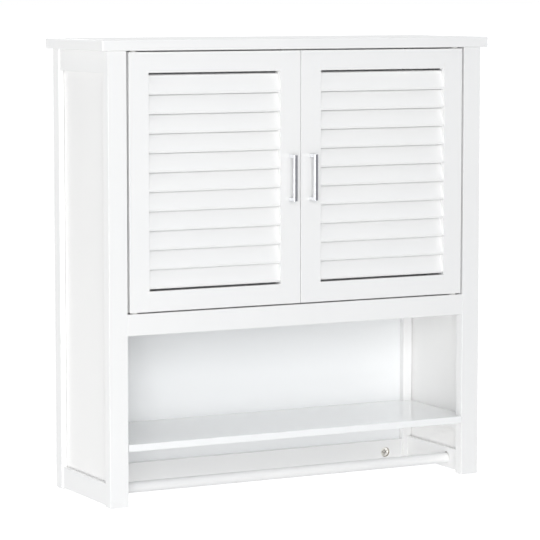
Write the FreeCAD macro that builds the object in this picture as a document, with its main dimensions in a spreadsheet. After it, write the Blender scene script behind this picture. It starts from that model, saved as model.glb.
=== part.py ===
import FreeCAD, Part
import os
import re

# Wall-hung louvred cabinet: a post-and-rail carcass with two louvred doors over an open bay, a shelf and a
# towel rail. X runs across the cabinet, with the centre plane at 0. The wall is the plane Y = 0 and the front
# looks along -Y. Z = 0 is the line of the wall screws. Heights in the formulas count from the posts' feet.

# Driving dimensions, in millimetres and degrees. A name that ends in share is a fraction of what it follows.
sizes = {
    # carcass
    "carcass_width": 600,
    "carcass_depth": 191,
    "post_height": 635,
    "post_width": 28,
    "post_thickness": 17,
    "rear_post_thickness": 20.5,
    "wall_gap": 4,
    "edge_round": 0.5,
    "overrun": 1,
    # top board
    "top_thickness": 15,
    "top_side_overhang": 10,
    "top_front_overhang": 5,
    "top_edge_round": 1.6,
    # side frames and panels
    "side_rail_height": 31,
    "side_rail_thickness": 18,
    "side_rail_setback": 2,
    "foot_clearance": 1.5,
    "panel_thickness": 4,
    "panel_setback": 8.5,
    "groove_depth": 4,
    "groove_clearance": 0.2,
    "panel_slack": 0.7,
    # back
    "back_panel_thickness": 4,
    "back_panel_setback": 10.5,
    "rear_rail_height": 28,
    "rear_rail_setback": 3,
    "wall_screw_inset": 42,
    "wall_screw_hole": 5,
    # shelves, floor and their cleats
    "shelf_level": 78,
    "shelf_thickness": 10,
    "bay_height": 152.6,
    "apron_height": 30,
    "floor_thickness": 12,
    "inner_shelf_thickness": 12,
    "inner_shelf_setback": 32,
    "inner_shelf_share": 0.5,
    "board_clearance": 0.6,
    "board_round": 0.6,
    "cleat_height": 12,
    "cleat_width": 12,
    # towel rail
    "towel_rail_diameter": 16,
    "towel_rail_setback": 55.5,
    "towel_rail_share": 0.485,
    "towel_rail_seat": 10,
    "towel_rail_clearance": 0.6,
    "towel_rail_drop": 0.5,
    # doors
    "door_gap": 2,
    "hinge_gap": 3.5,
    "meeting_gap": 1,
    "door_thickness": 16,
    "hinge_stile_width": 30,
    "meeting_stile_width": 32,
    "door_rail_height": 28.6,
    # louvres
    "slat_count": 11,
    "slat_width": 29,
    "slat_thickness": 5,
    "slat_tilt": 19,
    "slat_end_gap": 1.6,
    "slat_tenon": 5,
    "slat_clearance": 0.2,
    "slat_round": 1.8,
    # pivots
    "pivot_inset": 9.5,
    "pin_diameter": 5,
    "pin_set": 20,
    "pin_reach": 8,
    "pin_play": 0.05,
    "bush_diameter": 8,
    "bush_depth": 9,
    "bush_flange": 10,
    "bush_gap": 0.3,
    # handles
    "handle_spacing": 61.5,
    "handle_foot": 5,
    "handle_width": 5.5,
    "handle_depth": 5,
    "handle_reach": 17,
    "handle_bend": 1.5,
    "handle_round": 0.7,
    "screw_diameter": 3,
    "screw_bite": 9,
    "screw_head": 6,
    "screw_head_height": 2,
    "screw_recess": 0.8,
    "screw_recess_depth": 1,
    # catch
    "catch_width": 44,
    "catch_depth": 16,
    "catch_height": 14,
    "catch_gap": 0.3,
    "strike_width": 12,
    "strike_height": 8,
    "strike_thickness": 1.2,
    "strike_offset": 14,
    # cam locks, their bolts and the dowels
    "cam_diameter": 15,
    "cam_depth": 13.5,
    "cam_sink": 2.3,
    "cam_inset": 30,
    "cam_rim": 1.4,
    "cam_dish": 0.8,
    "cam_cross_width": 1.5,
    "cam_cross_depth": 2.5,
    "lower_cam_share": 0.35,
    "hanging_cam_share": 0.47,
    "bolt_diameter": 6,
    "bolt_set": 10,
    "dowel_diameter": 6,
    "dowel_length": 20,
    "post_dowel_share": 0.25,
    "joint_clearance": 0.1,
}

doc = FreeCAD.newDocument("LouvredCabinet")
sheet = doc.addObject("Spreadsheet::Sheet", "Sizes")
for row, (alias, value) in enumerate(sizes.items(), start=1):
    sheet.set(f"A{row}", alias)
    sheet.set(f"B{row}", str(value))
    sheet.setAlias(f"B{row}", alias)
doc.recompute()

# Named planes and lengths, as formulas over the sheet. Across: distance from the centre plane.
half_width = "carcass_width / 2"
post_inner = f"({half_width} - post_width)"
side_rail_outer = f"({half_width} - side_rail_setback)"
side_rail_inner = f"({side_rail_outer} - side_rail_thickness)"
panel_outer = f"({half_width} - panel_setback)"
panel_inner = f"({panel_outer} - panel_thickness)"
top_half = f"({half_width} + top_side_overhang)"
cam_across = f"({post_inner} - cam_inset)"
wall_screw_across = f"({cam_across} - wall_screw_inset)"
handle_across = "((meeting_gap + meeting_stile_width) / 2)"

# Front to back, along Y.
front_face = "(-(wall_gap + carcass_depth))"
front_post_back = f"({front_face} + post_thickness)"
rear_post_front = "(-(wall_gap + rear_post_thickness))"
back_panel_front = f"({rear_post_front} + back_panel_setback)"
rear_rail_front = f"({rear_post_front} + rear_rail_setback)"
side_bay = f"({rear_post_front} - {front_post_back})"
door_back = f"({front_face} + door_thickness)"
door_middle = f"({front_face} + door_thickness / 2)"
towel_rail_line = f"({front_face} + towel_rail_setback)"

# Heights above the feet.
lower_rail_top = "(foot_clearance + side_rail_height)"
upper_rail_low = "(post_height - side_rail_height)"
hanging_low = "(post_height - rear_rail_height)"
hang_level = "(post_height - rear_rail_height / 2)"
shelf_top = "(shelf_level + shelf_thickness)"
apron_low = f"({shelf_top} + bay_height)"
apron_top = f"({apron_low} + apron_height)"
cupboard_height = f"(post_height - {apron_top})"
inner_shelf_low = f"({apron_top} + {cupboard_height} * inner_shelf_share - inner_shelf_thickness / 2)"
door_low = f"({apron_top} + door_gap)"
door_top = "(post_height - door_gap)"
door_height = f"({door_top} - {door_low})"
door_centre = f"(({door_top} + {door_low}) / 2)"
opening_low = f"({door_low} + door_rail_height)"
opening_top = f"({door_top} - door_rail_height)"
towel_rail_level = "(foot_clearance + side_rail_height * towel_rail_share)"
towel_socket_level = f"({towel_rail_level} + towel_rail_drop)"

# How far a panel enters its groove, and how a slat stands in the door.
panel_seat = "(groove_depth - groove_clearance)"
slat_rise = "(slat_width * cos(slat_tilt) + slat_thickness * sin(slat_tilt))"
slat_run = f"({opening_top} - {opening_low} - 2 * slat_end_gap - {slat_rise})"
lowest_slat = f"({opening_low} + slat_end_gap + {slat_rise} / 2)"

# Sides of the cabinet, ends of a handle, and the turn that lays a cylinder's own Z along each direction.
sides = {"left": -1, "right": 1}
ends = {"lower": -1, "upper": 1}
along = {
    "+x": FreeCAD.Rotation(FreeCAD.Vector(0, 1, 0), 90),
    "-x": FreeCAD.Rotation(FreeCAD.Vector(0, 1, 0), -90),
    "+y": FreeCAD.Rotation(FreeCAD.Vector(1, 0, 0), -90),
    "-y": FreeCAD.Rotation(FreeCAD.Vector(1, 0, 0), 90),
    "+z": FreeCAD.Rotation(),
    "-z": FreeCAD.Rotation(FreeCAD.Vector(1, 0, 0), 180),
}
nodes = []
corners = {}


def formula(text):
    return re.sub(r"[a-z_]+", lambda word: f"Sizes.{word[0]}" if word[0] in sizes else word[0], text)


def bind(feature, **texts):
    for name, text in texts.items():
        feature.setExpression(name, formula(text))


def place(feature, x, y, z):
    for axis, text in zip("xyz", (x, y, z)):
        feature.setExpression(f"Placement.Base.{axis}", formula(text))


def in_cabinet(x, y, z):
    return x, y, f"{z} - {hang_level}"


def in_body(body, point):
    return [f"({position}) - ({corner})" for position, corner in zip(point, corners[body.Name])]


def across(sign, near, far):
    return near if sign > 0 else f"(-({far}))"


def outward(sign):
    return "+x" if sign > 0 else "-x"


def inward(sign):
    return outward(-sign)


def keep(piece):
    piece.Label = piece.Name
    nodes.append(piece)
    return piece


def board(name, low, extent):
    body = doc.addObject("PartDesign::Body", name)
    blank = body.newObject("PartDesign::AdditiveBox", f"{name}_blank")
    bind(blank, Length=extent[0], Width=extent[1], Height=extent[2])
    place(body, *in_cabinet(*low))
    corners[body.Name] = low
    doc.recompute()
    return body


def edges_along(body, axis, wanted=lambda middle, box: True):
    # Names of the straight edges that run along one axis and whose middle passes the test.
    shape = body.Tip.Shape
    found = []
    for number, edge in enumerate(shape.Edges, start=1):
        direction = edge.Vertexes[-1].Point - edge.Vertexes[0].Point
        lengths = {"x": abs(direction.x), "y": abs(direction.y), "z": abs(direction.z)}
        if max(lengths, key=lengths.get) == axis and wanted(edge.CenterOfMass, shape.BoundBox):
            found.append(f"Edge{number}")
    return found


def ease(body, radius, edges=None):
    base = body.Tip
    fillet = body.newObject("PartDesign::Fillet", f"{body.Name}_eased")
    fillet.Base = (base, edges or ["Edge1"])
    fillet.UseAllEdges = edges is None
    bind(fillet, Radius=radius)
    doc.recompute()


def check_cut(body, volume_before):
    doc.recompute()
    if body.Shape.isNull() or body.Shape.Volume >= volume_before:
        raise RuntimeError(f"a cut in {body.Name} removed nothing")


def notch(body, low, extent):
    before = body.Shape.Volume
    cut = body.newObject("PartDesign::SubtractiveBox", f"{body.Name}_notch")
    bind(cut, Length=extent[0], Width=extent[1], Height=extent[2])
    place(cut, *in_body(body, low))
    check_cut(body, before)
    return cut


def bore(body, mouth, direction, diameter, depth):
    before = body.Shape.Volume
    cut = body.newObject("PartDesign::SubtractiveCylinder", f"{body.Name}_bore")
    bind(cut, Radius=f"({diameter}) / 2", Height=depth)
    cut.Placement = FreeCAD.Placement(FreeCAD.Vector(), along[direction])
    place(cut, *in_body(body, mouth))
    check_cut(body, before)


def rod(name, start, direction, diameter, length):
    cylinder = doc.addObject("Part::Cylinder", name)
    bind(cylinder, Radius=f"({diameter}) / 2", Height=length)
    cylinder.Placement = FreeCAD.Placement(FreeCAD.Vector(), along[direction])
    place(cylinder, *in_cabinet(*start))
    return cylinder


def block(name, low, extent):
    box = doc.addObject("Part::Box", name)
    bind(box, Length=extent[0], Width=extent[1], Height=extent[2])
    place(box, *in_cabinet(*low))
    return box


def fuse(name, pieces):
    whole = doc.addObject("Part::MultiFuse", name)
    whole.Shapes = pieces
    return whole


def cut_away(name, base, tool):
    rest = doc.addObject("Part::Cut", name)
    rest.Base = base
    rest.Tool = tool
    return rest


def group(name, pieces):
    set_of_pieces = doc.addObject("Part::Compound", name)
    set_of_pieces.Links = pieces
    doc.recompute()
    return keep(set_of_pieces)


def step(point, direction, distance):
    # The point moved by a distance along a direction such as "+x".
    axis = "xyz".index(direction[1])
    moved = list(point)
    moved[axis] = f"({point[axis]} {direction[0]} ({distance}))"
    return tuple(moved)


def turned(direction):
    return ("-" if direction[0] == "+" else "+") + direction[1]


dowel_hole = "(dowel_diameter + 2 * joint_clearance)"
dowel_hole_depth = "(dowel_length / 2 + joint_clearance)"
bolt_hole = "(bolt_diameter + 2 * joint_clearance)"


def dowel(name, joint, direction, first, second):
    # A dowel centred on the joint's plane. It points from the first board into the second.
    bore(first, joint, turned(direction), dowel_hole, dowel_hole_depth)
    bore(second, joint, direction, dowel_hole, dowel_hole_depth)
    start = step(joint, turned(direction), "dowel_length / 2")
    return rod(name, start, direction, "dowel_diameter", "dowel_length")


def post(name, sign, low_y, thickness):
    body = board(name, (across(sign, post_inner, half_width), low_y, "0"),
                 ("post_width", thickness, "post_height"))
    ease(body, "edge_round")
    # Stopped groove for the side panel, in the face that looks at the other post. The panel sits in it with slack.
    is_front = low_y == front_face
    groove_low = f"{front_post_back} - groove_depth" if is_front else rear_post_front
    notch(body, (f"{across(sign, panel_inner, panel_outer)} - panel_slack", groove_low,
                 f"{lower_rail_top} - groove_depth"),
          ("panel_thickness + 2 * panel_slack", "groove_depth",
           f"{upper_rail_low} - {lower_rail_top} + 2 * groove_depth"))
    return keep(body)


def side_rail(name, sign, low_z, groove_z):
    body = board(name, (across(sign, side_rail_inner, side_rail_outer), front_post_back, low_z),
                 ("side_rail_thickness", side_bay, "side_rail_height"))
    ease(body, "edge_round", edges_along(body, "y"))
    notch(body, (f"{across(sign, panel_inner, panel_outer)} - panel_slack", front_post_back, groove_z),
          ("panel_thickness + 2 * panel_slack", side_bay, "groove_depth"))
    return keep(body)


def side_panel(name, sign):
    # The panel stands on the floor of the lower rail's groove.
    body = board(name, (across(sign, panel_inner, panel_outer), f"{front_post_back} - {panel_seat}",
                        f"{lower_rail_top} - groove_depth"),
                 ("panel_thickness", f"{side_bay} + 2 * {panel_seat}",
                  f"{upper_rail_low} - {lower_rail_top} + groove_depth + {panel_seat}"))
    return keep(body)


def rear_rail(name, low_z, groove_z):
    body = board(name, (f"(-{post_inner})", rear_rail_front, low_z),
                 (f"2 * {post_inner}", f"(-{rear_rail_front})", "rear_rail_height"))
    ease(body, "edge_round", edges_along(body, "x"))
    notch(body, (f"(-{post_inner})", f"{back_panel_front} - groove_clearance", groove_z),
          (f"2 * {post_inner}", "back_panel_thickness + 2 * groove_clearance", "groove_depth"))
    return keep(body)


def shelf_board(name, front, low_z, thickness, notch_front):
    # A board between the side panels. It is notched round the rear posts and, if asked, round the front ones.
    reach = f"({panel_inner} - board_clearance)"
    back = f"({back_panel_front} - board_clearance)"
    body = board(name, (f"(-{reach})", front, low_z), (f"2 * {reach}", f"{back} - {front}", thickness))
    ease(body, "board_round", edges_along(body, "x"))
    wide = f"({reach} - {post_inner} + board_clearance)"
    for sign in sides.values():
        low_x = across(sign, f"({reach} - {wide})", reach)
        notch(body, (low_x, f"{rear_post_front} - board_clearance", low_z),
              (wide, f"{back} - {rear_post_front} + board_clearance", thickness))
        if notch_front:
            notch_depth = f"({front_post_back} - {front} + board_clearance)"
            notch(body, (low_x, front, low_z), (wide, notch_depth, thickness))
    return keep(body)


def cleat(name, sign, shelf_low):
    # A square batten under a board, against the side panel between the posts.
    far = panel_inner
    near = f"({panel_inner} - cleat_width)"
    body = board(name, (across(sign, near, far), front_post_back, f"({shelf_low} - cleat_height)"),
                 ("cleat_width", side_bay, "cleat_height"))
    ease(body, "board_round", edges_along(body, "y"))
    return keep(body)


def cross_bar(name, centre, direction, axis, length, width, depth):
    # One bar of a cross recess that is sunk along Y from the centre. It lies along X or Z.
    extent = {"x": (length, depth, width), "z": (width, depth, length)}[axis]
    low_y = centre[1] if direction == "+y" else f"({centre[1]} - ({depth}))"
    low = (f"{centre[0]} - ({extent[0]}) / 2", low_y, f"{centre[2]} - ({extent[2]}) / 2")
    return block(name, low, extent)


def cam_lock(name, centre, direction):
    # A disc with a raised rim and a cross recess. Its face is at the centre, and it points into the rail.
    disc = rod(f"{name}_disc", centre, direction, "cam_diameter", "cam_depth - cam_sink - joint_clearance")
    dish = rod(f"{name}_dish", centre, direction, "cam_diameter - 2 * cam_rim", "cam_dish")
    bar_length = "cam_diameter - 4 * cam_rim"
    bar_depth = "cam_dish + cam_cross_depth"
    recess = [dish]
    for axis in "xz":
        recess.append(cross_bar(f"{name}_bar_{axis}", centre, direction, axis,
                                bar_length, "cam_cross_width", bar_depth))
    return cut_away(name, disc, fuse(f"{name}_recess", recess))


def cam_joint(number, sign, rail, rail_post, face_y, direction, bolt_depth, level):
    # A cam lock sunk in the rail's face, and the bolt that runs to it from the post.
    # Direction is the way into the rail from that face, and the bolt lies at its depth below it.
    centre = (across(sign, cam_across, cam_across), face_y, level)
    bolt_line = step((across(sign, post_inner, post_inner), face_y, level), direction, bolt_depth)
    bore(rail, centre, direction, "cam_diameter + 2 * joint_clearance", "cam_depth")
    bore(rail, bolt_line, inward(sign), bolt_hole, "cam_inset")
    bore(rail_post, bolt_line, outward(sign), bolt_hole, "bolt_set + joint_clearance")
    lock = cam_lock(f"cam_lock_{number}", step(centre, direction, "cam_sink"), direction)
    bolt_start = step(bolt_line, outward(sign), "bolt_set")
    bolt_length = "(bolt_set + cam_inset - cam_diameter / 2 - 2 * joint_clearance)"
    bolt = rod(f"cam_bolt_{number}", bolt_start, inward(sign), "bolt_diameter", bolt_length)
    return lock, bolt


# Carcass: top board, posts, side frames and back.
top_board = keep(board("top_board", (f"(-{top_half})", f"{front_face} - top_front_overhang", "post_height"),
                       (f"2 * {top_half}", f"(-{front_face}) + top_front_overhang", "top_thickness")))
ease(top_board, "top_edge_round")

posts = {}
for side, sign in sides.items():
    posts[side, "front"] = post(f"{side}_front_post", sign, front_face, "post_thickness")
    posts[side, "rear"] = post(f"{side}_rear_post", sign, rear_post_front, "rear_post_thickness")

dowels = []
lower_side_rails = {}
for side, sign in sides.items():
    lower = side_rail(f"{side}_lower_side_rail", sign, "foot_clearance", f"{lower_rail_top} - groove_depth")
    lower_side_rails[side] = lower
    upper = side_rail(f"{side}_upper_side_rail", sign, upper_rail_low, upper_rail_low)
    side_panel(f"{side}_side_panel", sign)
    rail_middle = f"(({side_rail_inner} + {side_rail_outer}) / 2)"
    rail_line = across(sign, rail_middle, rail_middle)
    for rail, low_z in ((lower, "foot_clearance"), (upper, upper_rail_low)):
        middle = f"({low_z} + side_rail_height / 2)"
        dowels.append(dowel(f"{rail.Name}_front_dowel", (rail_line, front_post_back, middle), "+y",
                            posts[side, "front"], rail))
        dowels.append(dowel(f"{rail.Name}_rear_dowel", (rail_line, rear_post_front, middle), "+y",
                            rail, posts[side, "rear"]))
    post_line = f"({post_inner} + post_width * post_dowel_share)"
    for place_name, low_y, thickness in (("front", front_face, "post_thickness"),
                                         ("rear", rear_post_front, "rear_post_thickness")):
        joint = (across(sign, post_line, post_line), f"({low_y} + {thickness} / 2)", "post_height")
        name = f"{side}_{place_name}_top_dowel"
        dowels.append(dowel(name, joint, "+z", posts[side, place_name], top_board))
    # Groove for the back panel in the inner face of the rear post.
    notch(posts[side, "rear"], (across(sign, post_inner, f"{post_inner} + groove_depth"),
                                f"{back_panel_front} - groove_clearance", "rear_rail_height - groove_depth"),
          ("groove_depth", "back_panel_thickness + 2 * groove_clearance",
           f"{hanging_low} - rear_rail_height + 2 * groove_depth"))
group("carcass_dowels", dowels)

lower_rear_rail = rear_rail("lower_rear_rail", "0", "rear_rail_height - groove_depth")
hanging_rail = rear_rail("hanging_rail", hanging_low, hanging_low)
for sign in sides.values():
    screw_mouth = (across(sign, wall_screw_across, wall_screw_across), rear_rail_front, hang_level)
    bore(hanging_rail, screw_mouth, "+y", "wall_screw_hole", f"(-{rear_rail_front})")

back_panel_reach = f"({post_inner} + {panel_seat})"
keep(board("back_panel", (f"(-{back_panel_reach})", back_panel_front, f"rear_rail_height - {panel_seat}"),
           (f"2 * {back_panel_reach}", "back_panel_thickness",
            f"{hanging_low} - rear_rail_height + 2 * {panel_seat}")))

# Apron rail, the floor behind it, the shelves and their cleats.
apron_rail = keep(board("apron_rail", (f"(-{post_inner})", front_face, apron_low),
                        (f"2 * {post_inner}", "post_thickness", "apron_height")))
ease(apron_rail, "edge_round")

floor_low = f"({apron_top} - floor_thickness)"
shelf_board("cupboard_floor", front_post_back, floor_low, "floor_thickness", False)
inner_shelf_front = f"({front_face} + inner_shelf_setback)"
shelf_board("inner_shelf", inner_shelf_front, inner_shelf_low, "inner_shelf_thickness", False)
shelf_board("open_shelf", front_face, "shelf_level", "shelf_thickness", True)
board_levels = {"floor": floor_low, "inner_shelf": inner_shelf_low, "open_shelf": "shelf_level"}
for side, sign in sides.items():
    for board_name, low_z in board_levels.items():
        cleat(f"{side}_{board_name}_cleat", sign, low_z)

# Towel rail, lying in blind holes in the lower side rails.
towel_rail_half = f"({side_rail_inner} + towel_rail_seat - towel_rail_clearance)"
for side, sign in sides.items():
    socket = (across(sign, side_rail_inner, side_rail_inner), towel_rail_line, towel_socket_level)
    bore(lower_side_rails[side], socket, outward(sign),
         "towel_rail_diameter + 2 * towel_rail_clearance", "towel_rail_seat")
keep(rod("towel_rail", (f"(-{towel_rail_half})", towel_rail_line, towel_rail_level), "+x",
         "towel_rail_diameter", f"2 * {towel_rail_half}"))

# Cam locks in the rear rails and behind the apron. Each bolt lies at the middle of its rail's thickness.
rear_rail_middle = f"(-{rear_rail_front} / 2)"
lower_cam_level = "(rear_rail_height * lower_cam_share)"
hanging_cam_level = f"({hanging_low} + rear_rail_height * hanging_cam_share)"
apron_cam_level = f"(({apron_low} + {floor_low}) / 2)"
cam_rails = (
    (lower_rear_rail, "rear", rear_rail_front, "+y", rear_rail_middle, lower_cam_level),
    (hanging_rail, "rear", rear_rail_front, "+y", rear_rail_middle, hanging_cam_level),
    (apron_rail, "front", front_post_back, "-y", "post_thickness / 2", apron_cam_level),
)
cam_pairs = []
for rail, post_place, *joint in cam_rails:
    for side, sign in sides.items():
        cam_pairs.append(cam_joint(len(cam_pairs), sign, rail, posts[side, post_place], *joint))
group("cam_locks", [lock for lock, bolt in cam_pairs])
group("cam_bolts", [bolt for lock, bolt in cam_pairs])

# Magnetic catch under the top board, behind the meeting stiles.
catch_front = f"({door_back} + strike_thickness + catch_gap)"
catch_low = "(post_height - catch_height)"
magnetic_catch = keep(board("magnetic_catch", ("(-catch_width / 2)", catch_front, catch_low),
                            ("catch_width", "catch_depth", "catch_height")))
ease(magnetic_catch, "board_round", edges_along(magnetic_catch, "y"))

# Pivot bushes: sleeves let into the top board and the apron, each with a flange in the door gap.
pivot_across = f"({post_inner} - hinge_gap - pivot_inset)"
bush_bore = "(pin_diameter + 2 * pin_play)"
bushes = []
for side, sign in sides.items():
    for level_name, level, direction, seat in (("upper", "post_height", "+z", top_board),
                                               ("lower", apron_top, "-z", apron_rail)):
        mouth = (across(sign, pivot_across, pivot_across), door_middle, level)
        name = f"{side}_{level_name}_bush"
        bore(seat, mouth, direction, "bush_diameter + 2 * joint_clearance", "bush_depth + joint_clearance")
        sleeve = rod(f"{name}_sleeve", mouth, direction, "bush_diameter", "bush_depth")
        flange = rod(f"{name}_flange", mouth, turned(direction), "bush_flange", "door_gap - bush_gap")
        hole_start = step(mouth, turned(direction), "door_gap")
        hole = rod(f"{name}_hole", hole_start, direction, bush_bore, "door_gap + bush_depth + overrun")
        bushes.append(cut_away(name, fuse(f"{name}_body", [sleeve, flange]), hole))
group("pivot_bushes", bushes)


def slat_low(x):
    # Low corner of the lowest slat's box before it tilts, so that its centre stays in the middle of the door.
    y = f"({door_middle} - (slat_thickness * cos(slat_tilt) + slat_width * sin(slat_tilt)) / 2)"
    z = f"({lowest_slat} - (slat_width * cos(slat_tilt) - slat_thickness * sin(slat_tilt)) / 2)"
    return x, y, z


def tilt(slat):
    turn = FreeCAD.Rotation(FreeCAD.Vector(1, 0, 0), -sizes["slat_tilt"])
    slat.Placement = FreeCAD.Placement(FreeCAD.Vector(), turn)
    slat.setExpression("Placement.Rotation.Angle", formula("-slat_tilt"))


def slat_stack(body, repeated, mode):
    stack = body.newObject("PartDesign::LinearPattern", f"{body.Name}_stack")
    stack.TransformMode = mode
    stack.Originals = [repeated]
    stack.Direction = ([axis for axis in body.Origin.OriginFeatures if axis.Role == "Z_Axis"][0], [""])
    bind(stack, Length=slat_run, Occurrences="slat_count")
    body.Tip = stack
    doc.recompute()


def stile(name, sign, near, far):
    body = board(name, (across(sign, near, far), front_face, door_low),
                 (f"{far} - {near}", "door_thickness", door_height))
    return keep(body)


def cut_mortises(body, sign, near, far):
    # A slanted mortise for each slat, in the inner edge of a stile.
    before = body.Shape.Volume
    grown = "2 * slat_clearance"
    cut = body.newObject("PartDesign::SubtractiveBox", f"{body.Name}_mortise")
    bind(cut, Length="slat_tenon", Width=f"slat_thickness + {grown}", Height=f"slat_width + {grown}")
    tilt(cut)
    x, y, z = slat_low(across(sign, near, far))
    y = f"({y} - slat_clearance * (cos(slat_tilt) + sin(slat_tilt)))"
    z = f"({z} - slat_clearance * (cos(slat_tilt) - sin(slat_tilt)))"
    place(cut, *in_body(body, (x, y, z)))
    doc.recompute()
    slat_stack(body, cut, "Features")
    check_cut(body, before)


def handle_screw_point(sign, y, end):
    # Where a screw's line crosses a plane. End is -1 for the lower screw and 1 for the upper one.
    return across(sign, handle_across, handle_across), y, f"({door_centre} + {end} * handle_spacing / 2)"


def handle(name, sign):
    # Square bow: a bar on two arms, with rounded bends. It stands on the front face of the meeting stile.
    low_x = across(sign, f"({handle_across} - handle_width / 2)", f"({handle_across} + handle_width / 2)")
    height = "(handle_spacing + handle_foot)"
    low_z = f"({door_centre} - {height} / 2)"
    low_y = f"({front_face} - handle_reach)"
    body = board(name, (low_x, low_y, low_z), ("handle_width", "handle_reach", height))
    ease(body, "handle_bend", edges_along(body, "x", lambda middle, box: middle.y < box.Center.y))
    notch(body, (low_x, f"{low_y} + handle_depth", f"({low_z} + handle_foot)"),
          ("handle_width", "handle_reach - handle_depth", "handle_spacing - handle_foot"))
    ease(body, "handle_round", edges_along(body, "z", lambda middle, box: middle.y < box.Center.y))
    for end in ends.values():
        bore(body, handle_screw_point(sign, front_face, end), "-y",
             "screw_diameter + 2 * joint_clearance", "screw_bite + joint_clearance")
    keep(body)


def handle_screw(name, sign, end, door_stile):
    mouth = handle_screw_point(sign, door_back, end)
    bore(door_stile, mouth, "-y", "screw_diameter + 2 * joint_clearance", "door_thickness")
    head = rod(f"{name}_head", mouth, "+y", "screw_head", "screw_head_height")
    shank = rod(f"{name}_shank", mouth, "-y", "screw_diameter", "door_thickness + screw_bite")
    crown = step(mouth, "+y", "screw_head_height")
    bars = []
    for axis in "xz":
        bars.append(cross_bar(f"{name}_bar_{axis}", crown, "-y", axis,
                              "screw_head / 2", "screw_recess", "screw_recess_depth"))
    return cut_away(name, fuse(f"{name}_blank", [head, shank]), fuse(f"{name}_recess", bars))


def door(side, sign):
    free_edge = "(meeting_gap / 2)"
    hinge_edge = f"({post_inner} - hinge_gap)"
    meeting_inner = f"({free_edge} + meeting_stile_width)"
    hinge_inner = f"({hinge_edge} - hinge_stile_width)"

    hinge_stile = stile(f"{side}_door_hinge_stile", sign, hinge_inner, hinge_edge)
    meeting_stile = stile(f"{side}_door_meeting_stile", sign, free_edge, meeting_inner)

    def far_side(middle, box):
        return sign * (middle.x - box.Center.x) > 0

    def near_side(middle, box):
        return sign * (middle.x - box.Center.x) < 0

    # Only the door's own outer edges are eased, so the painted joints of stiles and rails stay closed.
    ease(hinge_stile, "edge_round", edges_along(hinge_stile, "z", far_side))
    ease(meeting_stile, "edge_round", edges_along(meeting_stile, "z", near_side))

    dowel_pieces = []
    for rail_name, low_z in (("bottom", door_low), ("top", opening_top)):
        rail_corner = (across(sign, meeting_inner, hinge_inner), front_face, low_z)
        rail = keep(board(f"{side}_door_{rail_name}_rail", rail_corner,
                          (f"{hinge_inner} - {meeting_inner}", "door_thickness", "door_rail_height")))
        ease(rail, "edge_round", edges_along(rail, "x"))
        middle = f"({low_z} + door_rail_height / 2)"
        for edge, door_stile, direction in ((meeting_inner, meeting_stile, inward(sign)),
                                            (hinge_inner, hinge_stile, outward(sign))):
            joint = (across(sign, edge, edge), door_middle, middle)
            name = f"{door_stile.Name}_{rail_name}_dowel"
            dowel_pieces.append(dowel(name, joint, direction, rail, door_stile))
    group(f"{side}_door_dowels", dowel_pieces)

    # Pivot pins in both ends of the hinge stile.
    pins = []
    for level_name, level, direction in (("upper", door_top, "+z"), ("lower", door_low, "-z")):
        end = (across(sign, pivot_across, pivot_across), door_middle, level)
        bore(hinge_stile, end, turned(direction),
             "pin_diameter + 2 * joint_clearance", "pin_set + joint_clearance")
        pins.append(rod(f"{side}_{level_name}_pin", step(end, turned(direction), "pin_set"), direction,
                        "pin_diameter", "pin_set + door_gap + pin_reach"))
    group(f"{side}_pivot_pins", pins)

    # Slats in one stack, with their ends in the stiles' mortises.
    slat_end = "(slat_tenon - slat_clearance)"
    slat_near = f"({meeting_inner} - {slat_end})"
    slat_far = f"({hinge_inner} + {slat_end})"
    slats = keep(board(f"{side}_door_slats", slat_low(across(sign, slat_near, slat_far)),
                       (f"{slat_far} - {slat_near}", "slat_thickness", "slat_width")))
    tilt(slats.Tip)
    doc.recompute()
    ease(slats, "slat_round", edges_along(slats, "x"))
    slat_stack(slats, slats.Tip, "Whole shape")

    handle(f"{side}_handle", sign)
    screws = []
    for end_name, end in ends.items():
        screws.append(handle_screw(f"{side}_{end_name}_screw", sign, end, meeting_stile))
    group(f"{side}_handle_screws", screws)

    cut_mortises(hinge_stile, sign, hinge_inner, f"({hinge_inner} + slat_tenon)")
    cut_mortises(meeting_stile, sign, f"({meeting_inner} - slat_tenon)", meeting_inner)

    strike_near = "(strike_offset - strike_width / 2)"
    strike_far = "(strike_offset + strike_width / 2)"
    strike_low = "(post_height - catch_height / 2 - strike_height / 2)"
    keep(board(f"{side}_strike_plate", (across(sign, strike_near, strike_far), door_back, strike_low),
               ("strike_width", "strike_thickness", "strike_height")))


for side, sign in sides.items():
    door(side, sign)

# Every object must be sound before anything is written.
doc.recompute()
for item in doc.Objects:
    if "Invalid" in item.State or "Error" in item.State:
        raise RuntimeError(f"{item.Name} failed: {item.State}")
for node in nodes:
    if node.Shape.isNull() or not node.Shape.isValid():
        raise RuntimeError(f"{node.Label} has no valid shape")

os.makedirs("parts", exist_ok=True)
for node in nodes:
    node.Shape.exportStep(f"parts/{node.Label}.step")
print(f"{len(nodes)} sub-parts written")
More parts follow.
